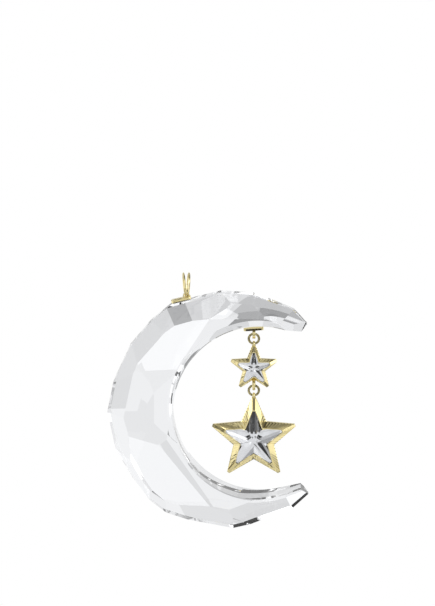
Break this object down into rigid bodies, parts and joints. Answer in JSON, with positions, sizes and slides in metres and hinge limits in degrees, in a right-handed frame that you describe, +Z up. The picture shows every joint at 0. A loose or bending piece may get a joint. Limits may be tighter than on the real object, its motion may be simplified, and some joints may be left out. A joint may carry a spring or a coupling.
{
  "type": "crystal moon ornament",
  "caption": "Faceted crystal crescent ornament on wire hanger loops, with small and large gold-framed crystal stars chained inside its bay on jump rings.",
  "frame": {"origin": "the hang point: inside the top of the two hanger loops, where a ribbon crosses them", "axes": "+Z up along the hanging line, +X towards the crescent's open side, -Y towards the viewer of the star fronts"},
  "size_m": [0.0674, 0.017, 0.0875],
  "materials": {
    "crystal": "clear cut crystal glass, polished facets",
    "gold": "polished pale champagne-gold plating on brass",
    "foil": "mirror-bright silver foil behind the star crystals",
    "glue": "clear cured adhesive"
  },
  "bodies": {
    "hanger": {"hanger_loop_left": "gold", "hanger_loop_right": "gold"},
    "moon": {"crescent_crystal": "crystal", "top_cap_plate": "gold", "top_cap_glue": "glue", "lower_cap_plate": "gold", "lower_cap_glue": "glue"},
    "upper_ring": {"upper_jump_ring": "gold"},
    "small_star": {"small_star_frame": "gold", "small_star_glue": "glue", "small_star_foil": "foil", "small_star_crystal": "crystal"},
    "lower_ring": {"lower_jump_ring": "gold"},
    "large_star": {"large_star_frame": "gold", "large_star_glue": "glue", "large_star_foil": "foil", "large_star_crystal": "crystal"}
  },
  "joints": [
    {"name": "moon_swing", "type": "hinge", "parent": "hanger", "child": "moon", "pos_m": [0, 0, -0.00733], "axis": [0, 1, 0], "range_deg": [-30, 30]},
    {"name": "upper_ring_swing", "type": "hinge", "parent": "moon", "child": "upper_ring", "pos_m": [0.02252, 0, -0.02039], "axis": [0, 1, 0], "range_deg": [-15, 10]},
    {"name": "small_star_swing", "type": "hinge", "parent": "upper_ring", "child": "small_star", "pos_m": [0.02252, 0, -0.02379], "axis": [1, 0, 0], "range_deg": [-50, 50]},
    {"name": "lower_ring_swing", "type": "hinge", "parent": "small_star", "child": "lower_ring", "pos_m": [0.02252, 0, -0.03814], "axis": [0, 1, 0], "range_deg": [-12, 12]},
    {"name": "large_star_swing", "type": "hinge", "parent": "lower_ring", "child": "large_star", "pos_m": [0.02252, 0, -0.04154], "axis": [1, 0, 0], "range_deg": [-50, 50]}
  ]
}
